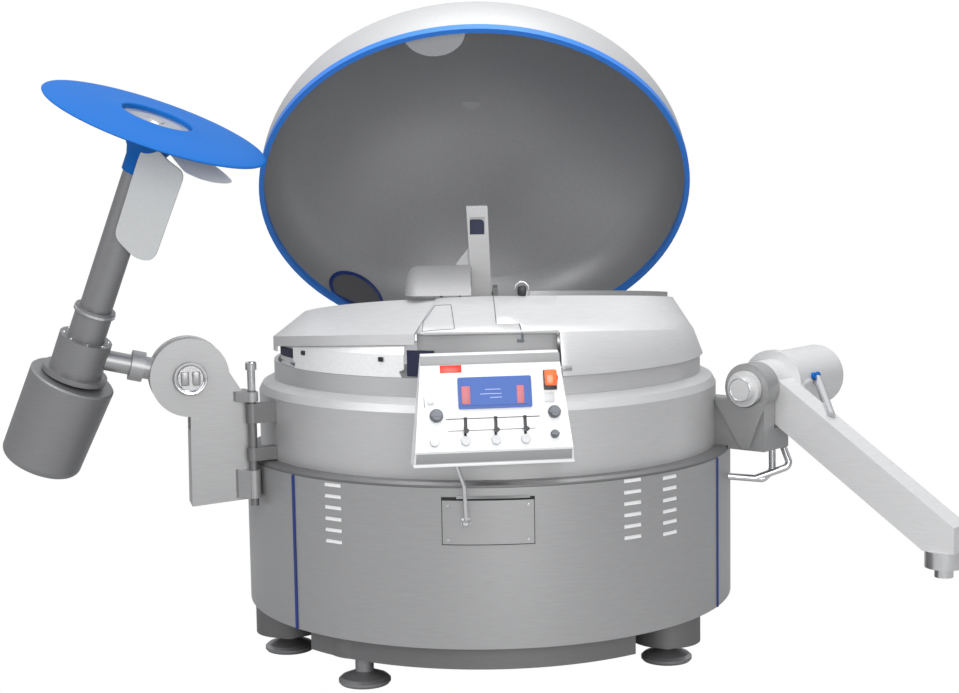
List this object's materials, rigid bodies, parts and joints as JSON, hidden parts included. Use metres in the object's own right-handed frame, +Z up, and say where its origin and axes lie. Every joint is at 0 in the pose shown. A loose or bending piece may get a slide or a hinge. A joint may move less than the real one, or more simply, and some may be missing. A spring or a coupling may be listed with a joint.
{
  "type": "meat bowl cutter",
  "caption": "Stainless bowl cutter with rotating bowl, covered knife head, hinged noise hood, swing-out unloading disc, trolley loading arm and control console.",
  "frame": {"origin": "bottom centre of the whole machine's bounding box, on the floor", "axes": "+Z up, -Y towards the operator's side with the console, +X towards the loading arm"},
  "size_m": [2.8948, 1.7446, 2.0613],
  "materials": {
    "body_steel": "satin brushed stainless sheet",
    "deck_steel": "satin brushed stainless sheet",
    "hood_steel": "pale bead-blasted stainless",
    "base_steel": "blasted stainless",
    "bowl_steel": "polished stainless",
    "shaft_steel": "ground steel",
    "blade_steel": "ground edge",
    "foot_steel": "dark turned steel",
    "motor_paint": "grey machine paint",
    "motor_iron": "painted casting",
    "belt_rubber": "ribbed rubber",
    "seal_navy": "dark blue seal",
    "trim_blue": "gloss blue edging",
    "disc_blue": "gloss blue",
    "console_white": "white powder coat",
    "screen_blue": "lit display behind clear front",
    "button_white": "moulded cap",
    "lever_black": "moulded grip",
    "knob_grey": "moulded knob",
    "stop_red": "red mushroom head"
  },
  "bodies": {
    "frame": {"foot_front": "foot_steel", "foot_left": "foot_steel", "foot_right": "foot_steel", "foot_rear_left": "foot_steel", "foot_rear_right": "foot_steel", "base_frame": "base_steel", "front_door": "body_steel", "rear_housing": "body_steel", "door_seals": "seal_navy", "inspection_hatch": "body_steel", "bowl_drive": "motor_iron", "knife_bearing_housing": "body_steel", "drive_belt": "belt_rubber", "main_motor": "motor_iron", "front_deck": "deck_steel", "chute_lid": "deck_steel", "right_deck": "deck_steel", "hood_brackets": "base_steel", "console_housing": "console_white", "screen": "screen_blue", "bowl_surround": "body_steel", "console_conduit": "shaft_steel", "swing_hinge": "base_steel", "loader_bracket": "body_steel", "guard_rail": "shaft_steel"},
    "bowl": {"bowl": "bowl_steel", "bowl_shaft": "shaft_steel"},
    "knife_head": {"knife_shaft": "shaft_steel", "knife_blades": "blade_steel", "knife_pulley": "motor_iron"},
    "motor_rotor": {"motor_pulley": "motor_iron"},
    "knife_guard": {"knife_cover": "deck_steel", "cover_arm": "deck_steel"},
    "hood": {"noise_hood": "hood_steel", "hood_trim": "trim_blue", "hood_tab": "hood_steel"},
    "swing_arm": {"unloader_bracket": "body_steel"},
    "unloader_head": {"unloader_knuckle": "body_steel", "unloader_column": "body_steel", "unloader_motor": "motor_paint", "scraper_plate": "hood_steel"},
    "unloading_disc": {"unloader_disc": "disc_blue", "disc_cap": "shaft_steel"},
    "lock": {"lock_pin": "shaft_steel"},
    "loader": {"loader_beam": "body_steel", "coupling_stud": "shaft_steel", "loader_motor": "motor_paint", "torque_strut": "shaft_steel"},
    "flap": {"chute_flap": "deck_steel"},
    "stop": {"emergency_stop": "stop_red"},
    "button_one_body": {"button_one": "button_white"},
    "button_two_body": {"button_two": "button_white"},
    "button_three_body": {"button_three": "button_white"},
    "button_four_body": {"button_four": "button_white"},
    "lever_one_body": {"lever_one": "lever_black"},
    "lever_two_body": {"lever_two": "lever_black"},
    "lever_three_body": {"lever_three": "lever_black"},
    "knob_left_body": {"knob_left": "knob_grey"},
    "knob_right_body": {"knob_right": "knob_grey"},
    "knob_small_body": {"knob_small": "knob_grey"}
  },
  "joints": [
    {"name": "hood_hinge", "type": "hinge", "parent": "frame", "child": "hood", "pos_m": [-0.00819, 0.83031, 1], "axis": [-0.9998, -0.0192, 0], "range_deg": [-36, 0]},
    {"name": "bowl_spin", "type": "hinge", "parent": "frame", "child": "bowl", "pos_m": [-0.07509, 0.06242, 0.8], "axis": [0, 0, 1], "continuous": true},
    {"name": "knife_spin", "type": "hinge", "parent": "frame", "child": "knife_head", "pos_m": [0.03491, -0.22758, 0.985], "axis": [1, 0, 0], "continuous": true},
    {"name": "motor_spin", "type": "hinge", "parent": "frame", "child": "motor_rotor", "pos_m": [0.03491, -0.26758, 0.4], "axis": [1, 0, 0], "continuous": true},
    {"name": "knife_cover_hinge", "type": "hinge", "parent": "frame", "child": "knife_guard", "pos_m": [0.03491, 0.01242, 1.145], "axis": [-1, 0, 0], "range_deg": [0, 70]},
    {"name": "chute_flap_lift", "type": "slide", "parent": "frame", "child": "flap", "axis": [0, 0, 1], "range_m": [0, 0.012]},
    {"name": "unloader_swing", "type": "hinge", "parent": "frame", "child": "swing_arm", "pos_m": [-0.68609, -0.30958, 0.7], "axis": [0, 0, 1], "range_deg": [0, 50]},
    {"name": "unloader_lift", "type": "hinge", "parent": "swing_arm", "child": "unloader_head", "pos_m": [-0.88309, -0.27558, 0.924], "axis": [-0.2538, 0.9673, 0], "range_deg": [0, 40]},
    {"name": "disc_spin", "type": "hinge", "parent": "unloader_head", "child": "unloading_disc", "pos_m": [-1.19149, -0.36578, 1.0029], "axis": [0.367, -0.16, 0.9164], "continuous": true},
    {"name": "lock_pin_lift", "type": "slide", "parent": "frame", "child": "lock", "axis": [0, 0, 1], "range_m": [0, 0.025]},
    {"name": "loader_lift", "type": "hinge", "parent": "frame", "child": "loader", "pos_m": [0.81691, -0.22758, 0.846], "axis": [-0.6429, -0.7659, 0], "range_deg": [0, 135]},
    {"name": "emergency_stop_press", "type": "slide", "parent": "frame", "child": "stop", "axis": [-0.1346, 0.9579, -0.2537], "range_m": [0, 0.005]},
    {"name": "button_one_press", "type": "slide", "parent": "frame", "child": "button_one_body", "axis": [-0.1346, 0.9579, -0.2537], "range_m": [0, 0.003], "stiffness_N_per_m": 600},
    {"name": "button_two_press", "type": "slide", "parent": "frame", "child": "button_two_body", "axis": [-0.1346, 0.9579, -0.2537], "range_m": [0, 0.003], "stiffness_N_per_m": 600},
    {"name": "button_three_press", "type": "slide", "parent": "frame", "child": "button_three_body", "axis": [-0.1346, 0.9579, -0.2537], "range_m": [0, 0.003], "stiffness_N_per_m": 600},
    {"name": "button_four_press", "type": "slide", "parent": "frame", "child": "button_four_body", "axis": [-0.1346, 0.9579, -0.2537], "range_m": [0, 0.003], "stiffness_N_per_m": 600},
    {"name": "lever_one_tilt", "type": "hinge", "parent": "frame", "child": "lever_one_body", "pos_m": [-0.02878, -0.83079, 0.822], "axis": [0.9903, 0.1392, 0], "range_deg": [-18, 18]},
    {"name": "lever_two_tilt", "type": "hinge", "parent": "frame", "child": "lever_two_body", "pos_m": [0.05539, -0.81896, 0.822], "axis": [0.9903, 0.1392, 0], "range_deg": [-18, 18]},
    {"name": "lever_three_tilt", "type": "hinge", "parent": "frame", "child": "lever_three_body", "pos_m": [0.13759, -0.80741, 0.822], "axis": [0.9903, 0.1392, 0], "range_deg": [-18, 18]},
    {"name": "knob_left_turn", "type": "hinge", "parent": "frame", "child": "knob_left_body", "pos_m": [-0.1077, -0.8297, 0.868], "axis": [0.1346, -0.9579, 0.2537], "range_deg": [-60, 60]},
    {"name": "knob_right_turn", "type": "hinge", "parent": "frame", "child": "knob_right_body", "pos_m": [0.21909, -0.78377, 0.868], "axis": [0.1346, -0.9579, 0.2537], "range_deg": [-60, 60]},
    {"name": "knob_small_turn", "type": "hinge", "parent": "frame", "child": "knob_small_body", "pos_m": [0.2193, -0.79964, 0.808], "axis": [0.1346, -0.9579, 0.2537], "range_deg": [-60, 60]}
  ],
  "couplings": [
    {"joint": "motor_spin", "follows": "knife_spin", "ratio": 0.72727}
  ]
}
